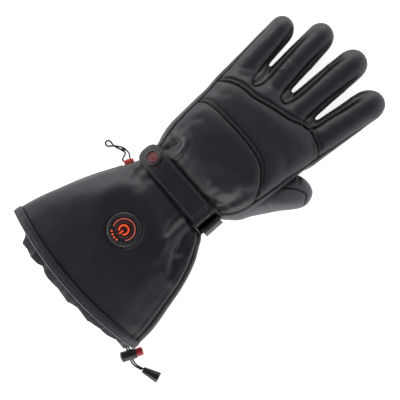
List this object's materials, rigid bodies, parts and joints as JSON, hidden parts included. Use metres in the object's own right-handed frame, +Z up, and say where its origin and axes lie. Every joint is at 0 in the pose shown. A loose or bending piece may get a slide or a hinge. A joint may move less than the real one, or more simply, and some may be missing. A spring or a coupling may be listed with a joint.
{
  "type": "heated gauntlet glove",
  "caption": "Black leather heated gauntlet glove for a left hand, lying flat on its palm, with a wrist strap, a lit control button on the cuff and a drawcord with a lock.",
  "frame": {"origin": "middle of the footprint of the glove without its cords, at the height of the surface it lies on", "axes": "+Y from the cuff to the fingertips, +X towards the side of the thumb, +Z up out of the back of the hand"},
  "size_m": [0.2258, 0.3852, 0.0579],
  "materials": {
    "leather": "smooth, satin",
    "side_leather": "fine grain, matte",
    "binding": "fine grain, satin",
    "lining": "thin woven, gathered",
    "webbing": "smooth strap, matte",
    "black_plastic": "satin",
    "red_plastic": "satin",
    "red_light": "lit when switched on",
    "red_metal": "satin",
    "black_cord": "braided"
  },
  "bodies": {
    "glove": {"thumb_back": "leather", "index_back_panel": "leather", "finger_back_panel": "leather", "knuckle_panel": "leather", "back_panel": "leather", "cuff_back": "leather", "thumb_front": "side_leather", "fourchette_little_ring": "side_leather", "fourchette_ring_middle": "side_leather", "fourchette_middle_index": "side_leather", "finger_front_little": "side_leather", "finger_front_ring": "side_leather", "finger_front_middle": "side_leather", "finger_front_index": "side_leather", "palm_panel": "side_leather", "cuff_front": "side_leather", "hem_binding": "binding", "zip_strip": "binding", "cuff_skirt": "lining", "wrist_strap": "webbing", "ring_tab": "webbing", "strap_ring": "black_plastic", "badge_rim": "black_plastic", "button_surround": "black_plastic", "button_cap": "black_plastic", "cord_lock_barrel": "black_plastic", "cord_end": "black_plastic", "badge_face": "red_plastic", "light_ring": "red_light", "lamp_1": "red_light", "lamp_2": "red_light", "lamp_3": "red_light", "lamp_4": "red_light", "zip_slider": "red_metal", "zip_pull_cord": "black_cord", "drawcord_left": "black_cord", "drawcord_right": "black_cord"},
    "plunger": {"cord_lock_plunger": "red_plastic"}
  },
  "joints": [
    {"name": "lock_press", "type": "slide", "parent": "glove", "child": "plunger", "axis": [-0.3894, -0.9211, 0], "range_m": [0, 0.003], "stiffness_N_per_m": 300}
  ]
}
